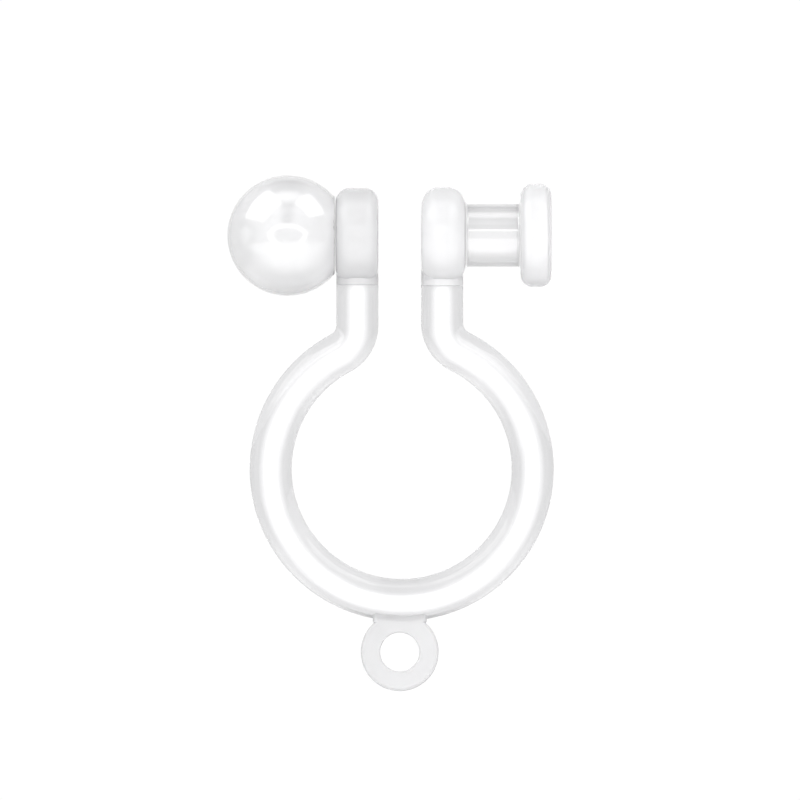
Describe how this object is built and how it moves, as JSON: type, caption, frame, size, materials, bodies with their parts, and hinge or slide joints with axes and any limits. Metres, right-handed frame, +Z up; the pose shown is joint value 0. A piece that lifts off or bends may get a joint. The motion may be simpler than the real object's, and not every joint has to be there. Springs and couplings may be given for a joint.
{
  "type": "clip-on earring finding",
  "caption": "Clear resin clip-on earring finding: a sprung open hoop with a round pad on each end, a ball on the front pad, a post and disc on the back pad, and a hanging loop below.",
  "frame": {"origin": "midway between the two pads' gripping faces, on the axis that the ball, pads, post and end disc share: where the ear lobe is held", "axes": "+Z up as worn, with the hanging loop straight below; +X across the gap from the front (ball) to the back (end disc); +Y along the hoop's own axis"},
  "size_m": [0.0098, 0.0036, 0.0155],
  "materials": {
    "clear_resin": "clear moulded resin, glossy, faintly milky"
  },
  "bodies": {
    "back_side": {"hoop_back_arm": "clear_resin", "back_pad": "clear_resin", "back_post": "clear_resin", "back_disc": "clear_resin"},
    "front_side": {"hoop_front_arm": "clear_resin", "front_pad": "clear_resin", "front_ball": "clear_resin"},
    "hanger": {"hoop_bend": "clear_resin", "hanging_loop": "clear_resin"}
  },
  "joints": [
    {"name": "clip_flex", "type": "hinge", "parent": "back_side", "child": "front_side", "pos_m": [0.00006, 0, -0.01095], "axis": [0, -1, 0], "range_deg": [-5, 18], "stiffness_Nm_per_rad": 0.024, "deforming": ["hoop_bend"]},
    {"name": "hanger_flex", "type": "hinge", "parent": "back_side", "child": "hanger", "pos_m": [0.00006, 0, -0.01095], "axis": [0, -1, 0], "range_deg": [-2.5, 9], "deforming": ["hoop_bend"]}
  ],
  "couplings": [
    {"joint": "hanger_flex", "follows": "clip_flex", "ratio": 0.5}
  ]
}
